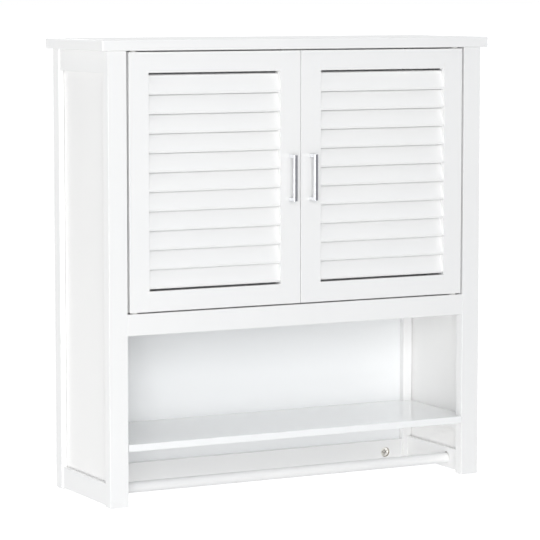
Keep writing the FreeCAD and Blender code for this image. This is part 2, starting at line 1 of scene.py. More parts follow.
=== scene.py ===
import math
import bmesh
import bpy
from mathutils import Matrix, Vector


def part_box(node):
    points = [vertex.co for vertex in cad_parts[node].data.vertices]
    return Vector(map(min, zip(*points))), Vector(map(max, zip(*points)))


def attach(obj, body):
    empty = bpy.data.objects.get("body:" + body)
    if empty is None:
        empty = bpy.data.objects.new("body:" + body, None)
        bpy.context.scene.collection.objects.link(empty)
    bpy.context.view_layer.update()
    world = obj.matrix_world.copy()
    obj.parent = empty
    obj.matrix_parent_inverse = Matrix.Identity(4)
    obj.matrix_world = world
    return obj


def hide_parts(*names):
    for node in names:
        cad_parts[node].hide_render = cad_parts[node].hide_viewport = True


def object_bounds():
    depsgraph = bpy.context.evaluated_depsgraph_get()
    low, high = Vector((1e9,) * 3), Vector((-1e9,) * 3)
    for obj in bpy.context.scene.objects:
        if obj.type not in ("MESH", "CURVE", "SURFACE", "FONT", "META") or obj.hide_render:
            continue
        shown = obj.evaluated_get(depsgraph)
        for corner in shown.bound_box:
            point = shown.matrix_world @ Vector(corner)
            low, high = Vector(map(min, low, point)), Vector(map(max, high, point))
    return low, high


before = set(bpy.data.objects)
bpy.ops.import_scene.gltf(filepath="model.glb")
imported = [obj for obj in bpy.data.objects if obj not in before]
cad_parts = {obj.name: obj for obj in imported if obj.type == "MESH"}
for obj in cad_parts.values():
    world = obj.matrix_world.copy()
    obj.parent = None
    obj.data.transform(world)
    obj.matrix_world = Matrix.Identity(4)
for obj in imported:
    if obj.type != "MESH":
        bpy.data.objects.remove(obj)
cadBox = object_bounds()
print("frame loaded with", len(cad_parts), "nodes")

mm = 0.001
sides = {"left": -1, "right": 1}


def pick(sockets, key):
    if isinstance(key, int):
        return sockets[key]
    return next(one for one in sockets if key in (one.identifier, one.name))


class Wire:
    # one output of a node tree, so that node maths reads as plain Python
    def __init__(self, tree, socket=None):
        self.tree = tree
        self.socket = socket

    def node(self, kind, settings={}, sockets={}, out=0):
        made = self.tree.nodes.new(kind)
        for name, value in settings.items():
            setattr(made, name, value)
        for key, value in sockets.items():
            if isinstance(value, Wire):
                self.tree.links.new(value.socket, pick(made.inputs, key))
            else:
                pick(made.inputs, key).default_value = value
        return Wire(self.tree, pick(made.outputs, out) if made.outputs else None)

    def pin(self, key):
        # another output of the same node
        return Wire(self.tree, pick(self.socket.node.outputs, key))

    def maths(self, operation, first, second, clamp=False):
        settings = {"operation": operation, "use_clamp": clamp}
        return self.node("ShaderNodeMath", settings, {0: first, 1: second})

    def __add__(self, other):
        return self.maths("ADD", self, other)

    def __sub__(self, other):
        return self.maths("SUBTRACT", self, other)

    def __rsub__(self, other):
        return self.maths("SUBTRACT", other, self)

    def __mul__(self, other):
        return self.maths("MULTIPLY", self, other)

    def __truediv__(self, other):
        return self.maths("DIVIDE", self, other)

    def __pow__(self, other):
        return self.maths("POWER", self, other)

    __radd__ = __add__
    __rmul__ = __mul__

    def least(self, other):
        return self.maths("MINIMUM", self, other)

    def most(self, other):
        return self.maths("MAXIMUM", self, other)

    def below(self, limit):
        return self.maths("LESS_THAN", self, limit)

    def clamped(self):
        return self.maths("ADD", self, 0.0, clamp=True)

    def noise(self, scale, detail, roughness=0.5):
        sockets = {"Vector": self, "Scale": scale, "Detail": detail, "Roughness": roughness}
        return self.node("ShaderNodeTexNoise", {}, sockets, "Fac")

    def stretched(self, scale):
        return self.node("ShaderNodeMapping", {}, {"Vector": self, "Scale": scale})

    def between(self, low, high):
        # smooth step from 0 at low to 1 at high
        return self.node("ShaderNodeMapRange", {"interpolation_type": "SMOOTHSTEP"},
                         {"Value": self, "From Min": low, "From Max": high})

    def blend(self, first, second):
        # colour mix, with this value as its factor
        return self.node("ShaderNodeMix", {"data_type": "RGBA"},
                         {"Factor_Float": self, "A_Color": first, "B_Color": second}, "Result_Color")

    def bump(self, strength, depth):
        return self.node("ShaderNodeBump", {}, {"Height": self, "Strength": strength, "Distance": depth})


def newFinish(name):
    material = bpy.data.materials.new(name)
    material.use_nodes = True
    material.node_tree.nodes.clear()
    start = Wire(material.node_tree)
    return material, start.node("ShaderNodeTexCoord", {}, {}, "Object")


def seal(at, sockets):
    shader = at.node("ShaderNodeBsdfPrincipled", {}, sockets)
    at.node("ShaderNodeOutputMaterial", {}, {"Surface": shader})


def arris(at, box, reach):
    # 1 along the edges of a board, 0 on its faces: near an edge, two of the three distances are small
    parts = at.node("ShaderNodeSeparateXYZ", {}, {"Vector": at})
    near = []
    for axis, low, high in zip("XYZ", *box):
        spot = parts.pin(axis)
        near.append((spot - low).least(high - spot))
    a, b, c = near
    second = a.least(b).most(a.most(b).least(c))
    return 1 - (second / reach).clamped()


# Sprayed satin lacquer on fibreboard: fine peel, slow tone drift, warmer thin spots along the arrises.
# In every finish a noise is its scale, detail and roughness, a step is where it starts and ends, and a bump
# is its strength and depth
lacquer = {
    "board": {"white": (0.925, 0.925, 0.921, 1), "drift": (0.908, 0.909, 0.910, 1), "coat": 0.2},
    # The shelf's whites are a lighter, cooler copy of the boards' white: painted light, which brightens the
    # open shelf. Its heavier coat is real gloss
    "shelf": {"white": (0.942, 0.952, 0.956, 1), "drift": (0.930, 0.941, 0.946, 1), "coat": 0.8},
    "thin": (0.83, 0.805, 0.765, 1),
    "cloud": (5.0, 3.0),
    "fibre": (95.0, 4.0, 0.6),
    "fibreStretch": 0.05,
    "peel": (520.0, 2.0),
    "dust": (1500.0, 1.0),
    "toneStep": (0.35, 0.7),
    "cloudTone": 0.85,
    "fibreTone": 0.15,
    "edgeReach": 1.7 * mm,
    "chip": (60.0, 4.0, 0.7),
    "chipStep": (0.5, 0.72),
    "chipShare": 0.4,
    "rough": 0.25,
    "cloudRough": 0.05,
    "fibreRough": 0.02,
    "dustRough": 0.03,
    "edgeRough": 0.08,
    "coatRough": 0.11,
    "peelRelief": 0.75,
    "fibreRelief": 0.05,
    "dustRelief": 0.2,
    "bump": (0.30, 0.05 * mm),
}
# Raw fibreboard, which shows only inside the bores
rawBoard = {
    "pale": (0.58, 0.53, 0.45, 1),
    "dark": (0.44, 0.39, 0.32, 1),
    "grain": (900.0, 3.0, 0.7),
    "grainStep": (0.3, 0.7),
    "rough": 0.45,
    "slack": 0.15 * mm,
}


def boreMask(at, bores):
    # 1 on the walls of the bores: the axis that each runs along, a point on it, its radius and its two ends
    parts = at.node("ShaderNodeSeparateXYZ", {}, {"Vector": at})
    mask = 0.0
    for axis, middle, radius, ends in bores:
        first, second = [parts.pin(name) - middle["XYZ".index(name)] for name in "XYZ" if name != axis]
        along = parts.pin(axis)
        reach = (first * first + second * second) ** 0.5
        inside = reach.below(radius + rawBoard["slack"])
        deep = along.below(max(ends)) - along.below(min(ends))
        mask = (inside * deep).most(mask)
    return mask


def satinLacquer(name, lengthAxis, box=None, bores=(), coat="board"):
    # coat picks a set of whites and a coat weight; the shelf set's lighter whites are painted light
    use = {**lacquer, **lacquer[coat]}
    material, at = newFinish(name)
    stretch = [1.0, 1.0, 1.0]
    stretch["XYZ".index(lengthAxis)] = use["fibreStretch"]
    cloud = at.noise(*use["cloud"])
    fibre = at.stretched(stretch).noise(*use["fibre"])
    peel = at.noise(*use["peel"])
    dust = at.noise(*use["dust"])
    tone = (cloud * use["cloudTone"] + fibre * use["fibreTone"]).between(*use["toneStep"])
    colour = tone.blend(use["white"], use["drift"])
    rough = use["rough"] + cloud * use["cloudRough"] + fibre * use["fibreRough"] + dust * use["dustRough"]
    if box:
        edge = arris(at, box, use["edgeReach"])
        chips = edge * at.noise(*use["chip"]).between(*use["chipStep"])
        colour = (chips * use["chipShare"]).blend(colour, use["thin"])
        rough = rough + edge * use["edgeRough"]
    if bores:
        bare = boreMask(at, bores)
        grain = at.noise(*rawBoard["grain"]).between(*rawBoard["grainStep"])
        colour = bare.blend(colour, grain.blend(rawBoard["pale"], rawBoard["dark"]))
        rough = rough + bare * rawBoard["rough"]
    relief = peel * use["peelRelief"] + fibre * use["fibreRelief"] + dust * use["dustRelief"]
    seal(at, {"Base Color": colour, "Roughness": rough, "Coat Weight": use["coat"],
              "Coat Roughness": use["coatRough"], "Normal": relief.bump(*use["bump"])})
    return material


# Foil-faced thin panels with a faint pressed texture: a cool white at the back, a warmer one at the sides
# Both whites are lighter than the boards' lacquer: painted light, which brightens the back and side panels.
# The back's white is also cooler, the sides' warmer
foil = {
    "cool": {"white": (0.937, 0.947, 0.953, 1), "drift": (0.924, 0.936, 0.943, 1)},
    "warm": {"white": (0.955, 0.951, 0.944, 1), "drift": (0.943, 0.939, 0.931, 1)},
    "cloud": (4.0, 3.0),
    "press": (900.0, 2.0, 0.6),
    "toneStep": (0.35, 0.7),
    "rough": 0.24,
    "pressRough": 0.12,
    "cloudRough": 0.08,
    "bump": (0.25, 0.03 * mm),
}


def foilPanel(name, kind):
    use = {**foil, **foil[kind]}
    material, at = newFinish(name)
    cloud = at.noise(*use["cloud"])
    press = at.noise(*use["press"])
    seal(at, {"Base Color": cloud.between(*use["toneStep"]).blend(use["white"], use["drift"]),
              "Roughness": use["rough"] + press * use["pressRough"] + cloud * use["cloudRough"],
              "Normal": press.bump(*use["bump"])})
    return material


# Polished chrome of the handles, with a smear here and there and fine lines along the bar
chromePlate = {
    "tone": (0.80, 0.81, 0.83, 1),
    "haze": (0.70, 0.71, 0.73, 1),
    "smear": (130.0, 3.0, 0.6),
    "smearStep": (0.45, 0.75),
    "line": (900.0, 2.0),
    "lineStretch": (1, 1, 0.04),
    "rough": 0.03,
    "smearRough": 0.07,
    "lineRough": 0.03,
    "bump": (0.05, 0.02 * mm),
}


def chrome(name):
    use = chromePlate
    material, at = newFinish(name)
    smear = at.noise(*use["smear"]).between(*use["smearStep"])
    lines = at.stretched(use["lineStretch"]).noise(*use["line"])
    seal(at, {"Base Color": smear.blend(use["tone"], use["haze"]), "Metallic": 1.0,
              "Roughness": use["rough"] + smear * use["smearRough"] + lines * use["lineRough"],
              "Normal": lines.bump(*use["bump"])})
    return material


# Nickel of the cam locks and zinc of the other small hardware
plated = {
    "nickel": {"tone": (0.86, 0.85, 0.82, 1), "dull": (0.74, 0.73, 0.70, 1), "rough": 0.52,
               "cast": (700.0, 3.0, 0.6)},
    "zinc": {"tone": (0.62, 0.63, 0.65, 1), "dull": (0.48, 0.48, 0.47, 1), "rough": 0.27,
             "cast": (500.0, 3.0, 0.6)},
    "tarnish": (90.0, 4.0, 0.6),
    "tarnishStep": (0.4, 0.75),
    "tarnishRough": 0.15,
    "castRough": 0.08,
    "bump": (0.25, 0.05 * mm),
}


def platedMetal(name, kind):
    use = {**plated, **plated[kind]}
    material, at = newFinish(name)
    cast = at.noise(*use["cast"])
    tarnish = at.noise(*use["tarnish"]).between(*use["tarnishStep"])
    seal(at, {"Base Color": tarnish.blend(use["tone"], use["dull"]), "Metallic": 1.0,
              "Roughness": use["rough"] + tarnish * use["tarnishRough"] + cast * use["castRough"],
              "Normal": cast.bump(*use["bump"])})
    return material


# Moulded plastic of the bushes and the catch
mouldedPlastic = {
    "tone": (0.80, 0.80, 0.78, 1),
    "aged": (0.77, 0.76, 0.72, 1),
    "grain": (1300.0, 2.0),
    "cloud": (45.0, 2.0),
    "cloudStep": (0.4, 0.7),
    "rough": 0.45,
    "grainRough": 0.1,
    "bump": (0.3, 0.04 * mm),
}


def plastic(name):
    use = mouldedPlastic
    material, at = newFinish(name)
    grain = at.noise(*use["grain"])
    cloud = at.noise(*use["cloud"]).between(*use["cloudStep"])
    seal(at, {"Base Color": cloud.blend(use["tone"], use["aged"]),
              "Roughness": use["rough"] + grain * use["grainRough"],
              "Normal": grain.bump(*use["bump"])})
    return material


# Raw beech of the dowels: short flecks over fine grain
rawBeech = {
    "pale": (0.68, 0.50, 0.31, 1),
    "dark": (0.47, 0.30, 0.16, 1),
    "grain": (420.0, 4.0, 0.6),
    "fleck": (900.0, 2.0),
    "fleckStretch": (0.2, 1, 1),
    "fleckStep": (0.55, 0.7),
    "grainTone": 0.6,
    "fleckTone": 0.4,
    "toneStep": (0.25, 0.8),
    "rough": 0.6,
    "grainRough": 0.2,
    "bump": (0.4, 0.1 * mm),
}


def beech(name):
    use = rawBeech
    material, at = newFinish(name)
    grain = at.noise(*use["grain"])
    fleck = at.stretched(use["fleckStretch"]).noise(*use["fleck"]).between(*use["fleckStep"])
    tone = (grain * use["grainTone"] + fleck * use["fleckTone"]).between(*use["toneStep"])
    seal(at, {"Base Color": tone.blend(use["pale"], use["dark"]),
              "Roughness": use["rough"] + grain * use["grainRough"],
              "Normal": grain.bump(*use["bump"])})
    return material


def assign(node, material):
    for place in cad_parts[node].material_slots:
        place.material = material


# Which way each painted board runs
boardRuns = {
    "X": ["top_board", "apron_rail", "lower_rear_rail", "hanging_rail", "open_shelf", "cupboard_floor",
          "inner_shelf"],
    "Y": [f"{side}_{name}" for side in sides for name in
          ("upper_side_rail", "lower_side_rail", "floor_cleat", "inner_shelf_cleat", "open_shelf_cleat")],
    "Z": [f"{side}_{name}" for side in sides for name in
          ("front_post", "rear_post", "door_hinge_stile", "door_meeting_stile")],
}
for side in sides:
    boardRuns["X"] += [f"{side}_door_top_rail", f"{side}_door_bottom_rail"]

# Bores that the fittings sit in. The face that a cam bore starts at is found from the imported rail, and the
# line of the towel rail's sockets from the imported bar
bore = {
    "mouth": 0.1 * mm,
    "cam": {"across": 242 * mm, "radius": 7.6 * mm, "depth": 13.7 * mm},
    "camHeights": {"lower_rear_rail": -611.2 * mm, "hanging_rail": -0.84 * mm, "apron_rail": -371.4 * mm},
    "wallHole": {"across": 200 * mm, "radius": 2.5 * mm},
    "towelSocket": {"lift": 0.5 * mm, "radius": 8.6 * mm, "depth": 10.2 * mm},
}


def camFace(node):
    # the face that a rail's cams are let into, and the way into the rail
    low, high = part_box(node)
    return (high.y, -1) if node == "apron_rail" else (low.y, 1)


def boresIn(node):
    bores = []
    low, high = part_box(node)
    mouth = bore["mouth"]
    cam, wall, socket = bore["cam"], bore["wallHole"], bore["towelSocket"]
    barLow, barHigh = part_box("towel_rail")
    bar = (barLow + barHigh) / 2
    for side, sign in sides.items():
        if node in bore["camHeights"]:
            face, way = camFace(node)
            line = (sign * cam["across"], 0, bore["camHeights"][node])
            bores.append(("Y", line, cam["radius"], (face + way * mouth, face + way * cam["depth"])))
        if node == "hanging_rail":
            line = (sign * wall["across"], 0, 0)
            bores.append(("Y", line, wall["radius"], (low.y + mouth, high.y - mouth)))
        if node == f"{side}_lower_side_rail":
            inner = min(abs(low.x), abs(high.x))
            ends = (sign * (inner + mouth), sign * (inner + socket["depth"]))
            bores.append(("X", (0, bar.y, bar.z + socket["lift"]), socket["radius"], ends))
    return bores


for axis, names in boardRuns.items():
    for node in names:
        # the open shelf takes the lighter whites, which are painted light on it
        coat = "shelf" if node == "open_shelf" else "board"
        assign(node, satinLacquer(f"satinLacquer_{node}", axis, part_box(node), boresIn(node), coat))
# the foil whites are painted light on the back and side panels
assign("back_panel", foilPanel("foilPanel_back", "cool"))
for side in sides:
    assign(f"{side}_side_panel", foilPanel(f"foilPanel_{side}", "warm"))

chromeFinish = chrome("polishedChrome")
nickelFinish = platedMetal("nickelCasting", "nickel")
zincFinish = platedMetal("zincPlate", "zinc")
plasticFinish = plastic("mouldedPlastic")
beechFinish = beech("rawBeech")
slatFinish = satinLacquer("satinLacquer_slats", "X")
for node in ("carcass_dowels", "left_door_dowels", "right_door_dowels"):
    assign(node, beechFinish)
for node in ("cam_bolts", "left_pivot_pins", "right_pivot_pins"):
    assign(node, zincFinish)
assign("pivot_bushes", plasticFinish)
print("finishes made and given to the boards")


def newPiece(name, data):
    piece = bpy.data.objects.new(name, data)
    bpy.context.collection.objects.link(piece)
    return piece


def plainMesh(piece):
    graph = bpy.context.evaluated_depsgraph_get()
    mesh = bpy.data.meshes.new_from_object(piece.evaluated_get(graph), depsgraph=graph)
    piece.modifiers.clear()
    piece.data = mesh
    mesh.name = piece.name
    return mesh


def settle(piece, smoothAngle=40.0):
    # modifiers become plain mesh, with hard edges only at real corners. Large faces outweigh the rounds
    # beside them in the shading, so that a flat face reflects as a flat one
    mesh = plainMesh(piece)
    mesh.shade_smooth()
    mesh.set_sharp_from_angle(angle=math.radians(smoothAngle))
    piece.modifiers.new("flatFaces", "WEIGHTED_NORMAL").keep_sharp = True
    plainMesh(piece)
    return piece


def easeEdges(piece, width, steps, sharperThan=30.0):
    edge = piece.modifiers.new("arris", "BEVEL")
    edge.width = width
    edge.segments = steps
    edge.limit_method = "ANGLE"
    edge.angle_limit = math.radians(sharperThan)


def dress(piece, body, slot, *nodes):
    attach(piece, body)
    if nodes:
        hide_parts(*nodes)


def meshFrom(name, work):
    weld = 0.0005 * mm
    bmesh.ops.remove_doubles(work, verts=work.verts, dist=weld)
    bmesh.ops.recalc_face_normals(work, faces=work.faces)
    mesh = bpy.data.meshes.new(name)
    work.to_mesh(mesh)
    work.free()
    return mesh


def turned(work, profile, steps, middle=(0, 0, 0), axis="Y"):
    # a turned shape: rings of (radius, depth) about an axis, closed where the radius is 0
    rings = []
    for radius, depth in profile:
        count = steps if radius else 1
        ring = []
        for step in range(count):
            angle = math.tau * step / count
            spot = Vector((radius * math.cos(angle), depth, radius * math.sin(angle)))
            if axis == "X":
                spot = Vector((spot.y, spot.x, spot.z))
            if axis == "Z":
                spot = Vector((spot.x, spot.z, spot.y))
            ring.append(work.verts.new(spot + Vector(middle)))
        rings.append(ring)
    for first, second in zip(rings, rings[1:]):
        for step in range(steps):
            a, b = first[step % len(first)], first[(step + 1) % len(first)]
            c, d = second[(step + 1) % len(second)], second[step % len(second)]
            corners = [a] + [b] * (len(first) > 1) + [c] + [d] * (len(second) > 1)
            work.faces.new(corners)


def prism(work, outline, start, end, axis="Y"):
    # a prism along X or Y, over an outline in the other two directions
    loops = []
    for along in (start, end):
        spots = [(first, along, second) for first, second in outline]
        if axis == "X":
            spots = [(along, first, second) for first, second in outline]
        loops.append([work.verts.new(spot) for spot in spots])
    work.faces.new(loops[0])
    work.faces.new(loops[1][::-1])
    for index in range(len(outline)):
        after = (index + 1) % len(outline)
        work.faces.new((loops[0][index], loops[0][after], loops[1][after], loops[1][index]))


def block(work, low, high):
    outline = [(low[0], low[2]), (low[0], high[2]), (high[0], high[2]), (high[0], low[2])]
    prism(work, outline, low[1], high[1])


def plusPrism(work, middle, reach, half, front, back):
    # a cross-shaped prism along Y, to cut a driver recess with
    outline = [(half, half), (half, reach), (-half, reach), (-half, half), (-reach, half), (-reach, -half),
               (-half, -half), (-half, -reach), (half, -reach), (half, -half), (reach, -half), (reach, half)]
    prism(work, [(middle[0] + x, middle[1] + z) for x, z in outline], front, back)


# How a recess is cut: how far a cutter stands out of the work, and how the new edges are broken
cutting = {"clear": 1 * mm, "smooth": 30.0, "arrisSteps": 2, "arrisAngle": 40.0, "roundSteps": 40}


def carved(piece, work, smoothAngle=cutting["smooth"], arrisWidth=0.0):
    # cuts a shape out of a piece, and breaks the new edges
    cutter = newPiece("cutter", meshFrom("cutter", work))
    cut = piece.modifiers.new("recess", "BOOLEAN")
    cut.object = cutter
    cut.solver = "EXACT"
    if arrisWidth:
        easeEdges(piece, arrisWidth, cutting["arrisSteps"], cutting["arrisAngle"])
    settle(piece, smoothAngle)
    bpy.data.objects.remove(cutter)
    return piece


def newTree(name, inputs):
    tree = bpy.data.node_groups.new(name, "GeometryNodeTree")
    for title, kind in inputs.items():
        tree.interface.new_socket(name=title, in_out="INPUT", socket_type=f"NodeSocket{kind}")
    tree.interface.new_socket(name="Geometry", in_out="OUTPUT", socket_type="NodeSocketGeometry")
    return tree, Wire(tree).node("NodeGroupInput")


def closeTree(placed, material):
    whole = placed.node("GeometryNodeRealizeInstances", {}, {"Geometry": placed})
    dressed = whole.node("GeometryNodeSetMaterial", {}, {"Geometry": whole, "Material": material})
    dressed.node("NodeGroupOutput", {}, {"Geometry": dressed})


def swayOf(start):
    # a random value from -1 to 1 for each instance
    sockets = {"Min_001": -1.0, "Max_001": 1.0, "Seed": start.pin("Seed")}
    return start.node("FunctionNodeRandomValue", {}, sockets, "Value_001")


def nodesOn(piece, tree, values):
    modifier = piece.modifiers.new(tree.name, "NODES")
    modifier.node_group = tree
    for item in tree.interface.items_tree:
        if item.in_out == "INPUT" and item.name in values:
            modifier[item.identifier] = values[item.name]
    return settle(piece)


# Louvre slats: one rounded blade, repeated up the door and tilted so that its lower edge stands forward
slat = {"count": 11, "width": 29 * mm, "thickness": 5 * mm, "round": 2.3 * mm, "roundSteps": 6, "tilt": 19.0,
        "wobble": 0.35, "seed": 7}


def slatTree(material):
    tree, start = newTree("louvreBank", {
        "Count": "Int", "Length": "Float", "Width": "Float", "Thickness": "Float", "Round": "Float",
        "Tilt": "Float", "Wobble": "Float", "Rise": "Float", "First": "Vector", "Seed": "Int"})
    blade = start.node("GeometryNodeCurvePrimitiveQuadrilateral", {"mode": "RECTANGLE"},
                       {"Width": start.pin("Thickness"), "Height": start.pin("Width")})
    blade = blade.node("GeometryNodeFilletCurve", {}, {
        "Curve": blade, "Count": slat["roundSteps"], "Radius": start.pin("Round"), "Limit Radius": True})
    half = start.pin("Length") / 2
    ends = [half.node("ShaderNodeCombineXYZ", {}, {"X": half * sign}) for sign in sides.values()]
    line = start.node("GeometryNodeCurvePrimitiveLine", {}, {"Start": ends[0], "End": ends[1]})
    line = line.node("GeometryNodeSetCurveNormal", {"mode": "Z_UP"}, {"Curve": line})
    body = line.node("GeometryNodeCurveToMesh", {}, {
        "Curve": line, "Profile Curve": blade, "Fill Caps": True})
    step = start.node("ShaderNodeCombineXYZ", {}, {"Z": start.pin("Rise")})
    spots = start.node("GeometryNodeMeshLine", {}, {
        "Count": start.pin("Count"), "Start Location": start.pin("First"), "Offset": step})
    lean = start.pin("Tilt") + swayOf(start) * start.pin("Wobble")
    turn = start.node("ShaderNodeCombineXYZ", {}, {"X": lean})
    stack = spots.node("GeometryNodeInstanceOnPoints", {}, {
        "Points": spots, "Instance": body, "Rotation": turn})
    closeTree(stack, material)
    return tree


louvreTree = slatTree(slatFinish)
for side in sides:
    low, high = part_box(f"{side}_door_slats")
    tilt = math.radians(slat["tilt"])
    tall = slat["width"] * math.cos(tilt) + slat["thickness"] * math.sin(tilt)
    bank = nodesOn(newPiece(f"{side}_louvre_slats", bpy.data.meshes.new("slats")), louvreTree, {
        "Count": slat["count"],
        "Length": high.x - low.x,
        "Width": slat["width"],
        "Thickness": slat["thickness"],
        "Round": slat["round"],
        "Tilt": -tilt,
        "Wobble": math.radians(slat["wobble"]),
        "Rise": (high.z - low.z - tall) / (slat["count"] - 1),
        "First": ((low.x + high.x) / 2, (low.y + high.y) / 2, low.z + tall / 2),
        "Seed": slat["seed"]})
    dress(bank, f"{side}_door", "white_paint", f"{side}_door_slats")
print("louvre slats laid")


# Square bow handle: a bar on two arms, with small rounded arrises
bow = {"bar": 5 * mm, "arm": 5 * mm, "arris": 0.55 * mm, "arrisSteps": 3, "smooth": 30.0}


def bowHandle(side):
    low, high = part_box(f"{side}_handle")
    inner = low.y + bow["bar"]
    lowArm, highArm = low.z + bow["arm"], high.z - bow["arm"]
    outline = [(high.y, high.z), (low.y, high.z), (low.y, low.z), (high.y, low.z),
               (high.y, lowArm), (inner, lowArm), (inner, highArm), (high.y, highArm)]
    work = bmesh.new()
    prism(work, outline, low.x, high.x, "X")
    mesh = meshFrom("handle", work)
    mesh.materials.append(chromeFinish)
    piece = newPiece(f"{side}_bow_handle", mesh)
    easeEdges(piece, bow["arris"], bow["arrisSteps"])
    settle(piece, bow["smooth"])
    dress(piece, f"{side}_door", "chrome", f"{side}_handle")
    # the polished faces throw no bright flecks on the door
    piece.visible_diffuse = False


for side in sides:
    bowHandle(side)
print("handles made")


# Fixings: one turned template, set at spots that each carry the way they face
def fixingTree(material):
    tree, start = newTree("fixingsAtSpots", {
        "Geometry": "Geometry", "Fixing": "Object", "Twist": "Float", "Seed": "Int"})
    facing = start.node("GeometryNodeInputNamedAttribute", {"data_type": "FLOAT_VECTOR"},
                        {"Name": "facing"}, "Attribute")
    part = start.node("GeometryNodeObjectInfo", {"transform_space": "ORIGINAL"},
                      {"Object": start.pin("Fixing")}, "Geometry")
    placed = start.node("GeometryNodeInstanceOnPoints", {}, {
        "Points": start.pin("Geometry"), "Instance": part, "Rotation": facing})
    spin = start.node("ShaderNodeCombineXYZ", {}, {"Y": swayOf(start) * start.pin("Twist")})
    placed = placed.node("GeometryNodeRotateInstances", {}, {
        "Instances": placed, "Rotation": spin, "Local Space": True})
    closeTree(placed, material)
    return tree


def fixings(name, template, spots, tree, use):
    mesh = bpy.data.meshes.new(name)
    mesh.from_pydata([place for place, facing in spots], [], [])
    ways = mesh.attributes.new("facing", "FLOAT_VECTOR", "POINT")
    for index, (place, facing) in enumerate(spots):
        ways.data[index].vector = facing
    return nodesOn(newPiece(name, mesh), tree, {
        "Fixing": template, "Twist": math.radians(use["twist"]), "Seed": use["seed"]})


# Cam locks: a die-cast disc sunk in its bore, with a sunk face, a cross recess and a pip in the middle
camLock = {"radius": 7.3 * mm, "sunk": 2.3 * mm, "back": 13.2 * mm, "rim": 1.2 * mm, "step": 0.5 * mm,
           "edge": 0.35 * mm, "steps": 56, "reach": 3.5 * mm, "half": 0.8 * mm, "recess": 3.4 * mm,
           "pip": 1.3 * mm, "pipTop": 0.8, "pipSide": 0.25 * mm, "pipSunk": 0.1 * mm, "pipSteps": 16,
           "twist": 8.0, "seed": 3}


def camTemplate():
    use = camLock
    radius, sunk, edge = use["radius"], use["sunk"], use["edge"]
    face = sunk + use["step"]
    floor = face + use["recess"]
    dish = radius - use["rim"]
    work = bmesh.new()
    turned(work, [(0, use["back"]), (radius, use["back"]), (radius, sunk + edge), (radius - edge, sunk),
                  (dish, sunk), (dish - edge, face), (0, face)], use["steps"])
    disc = newPiece("camTemplate", meshFrom("camTemplate", work))
    cut = bmesh.new()
    plusPrism(cut, (0, 0), use["reach"], use["half"], sunk, floor)
    carved(disc, cut)
    whole = bmesh.new()
    whole.from_mesh(disc.data)
    turned(whole, [(use["pip"], floor), (use["pip"] * use["pipTop"], face + use["pipSide"]),
                   (0, face + use["pipSunk"])], use["pipSteps"])
    disc.data = meshFrom("camTemplate", whole)
    return disc


camSpots = []
for node, height in bore["camHeights"].items():
    face, way = camFace(node)
    for sign in sides.values():
        facing = (0, 0, math.pi if way < 0 else 0)
        camSpots.append(((sign * bore["cam"]["across"], face, height), facing))
camDisc = camTemplate()
locks = fixings("cam_lock_discs", camDisc, camSpots, fixingTree(nickelFinish), camLock)
bpy.data.objects.remove(camDisc)
dress(locks, "carcass", "nickel", "cam_locks")

# Handle screws: pan heads on the backs of the meeting stiles. The dome is in shares of the head and its rise
panScrew = {"head": 3.0 * mm, "rise": 2.0 * mm, "shank": 1.45 * mm, "length": 24.8 * mm,
            "dome": [(1, 0), (1, 0.35), (0.93, 0.62), (0.75, 0.84), (0.45, 0.96), (0, 1)],
            "tip": 0.6, "tipLength": 1 * mm, "steps": 40,
            "reach": 1.8 * mm, "half": 0.38 * mm, "recess": 1.2 * mm, "twist": 90.0, "seed": 5}


def screwTemplate():
    use = panScrew
    rise, shank, end = use["rise"], use["shank"], -use["length"]
    tip = [(0, end), (shank * use["tip"], end), (shank, end + use["tipLength"]), (shank, 0)]
    dome = [(use["head"] * out, rise * up) for out, up in use["dome"]]
    work = bmesh.new()
    turned(work, tip + dome, use["steps"])
    screw = newPiece("screwTemplate", meshFrom("screwTemplate", work))
    cut = bmesh.new()
    plusPrism(cut, (0, 0), use["reach"], use["half"], rise - use["recess"], rise + cutting["clear"])
    return carved(screw, cut)


screwPart = screwTemplate()
screwTree = fixingTree(zincFinish)
for side in sides:
    low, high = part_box(f"{side}_handle_screws")
    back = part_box(f"{side}_door_meeting_stile")[1].y
    across = (low.x + high.x) / 2
    heights = (low.z + panScrew["head"], high.z - panScrew["head"])
    spots = [((across, back, height), (0, 0, 0)) for height in heights]
    screws = fixings(f"{side}_handle_pan_screws", screwPart, spots, screwTree, panScrew)
    dress(screws, f"{side}_door", "steel", f"{side}_handle_screws")
bpy.data.objects.remove(screwPart)
print("cam locks and handle screws set")


# Strike plates: stamped steel with a countersunk screw
strike = {"corner": 1.6 * mm, "cornerSteps": 6, "edge": 0.25 * mm, "floor": 0.3 * mm, "sink": 2.3 * mm,
          "sinkFoot": 0.6, "sinkLift": 0.01 * mm, "head": 2.1 * mm, "headFoot": 0.55, "headTop": 0.96,
          "headDrop": 0.15 * mm, "headEase": 0.05 * mm, "reach": 1.25 * mm, "half": 0.3 * mm,
          "recess": 0.5 * mm, "smooth": 30.0}


def roundedOutline(low, high, corner, steps):
    # a rectangle in x and z with quarter rounds
    outline = []
    starts = ((high.x - corner, high.z - corner, 0), (low.x + corner, high.z - corner, 90),
              (low.x + corner, low.z + corner, 180), (high.x - corner, low.z + corner, 270))
    for x, z, start in starts:
        for step in range(steps + 1):
            angle = math.radians(start + 90 * step / steps)
            outline.append((x + corner * math.cos(angle), z + corner * math.sin(angle)))
    return outline


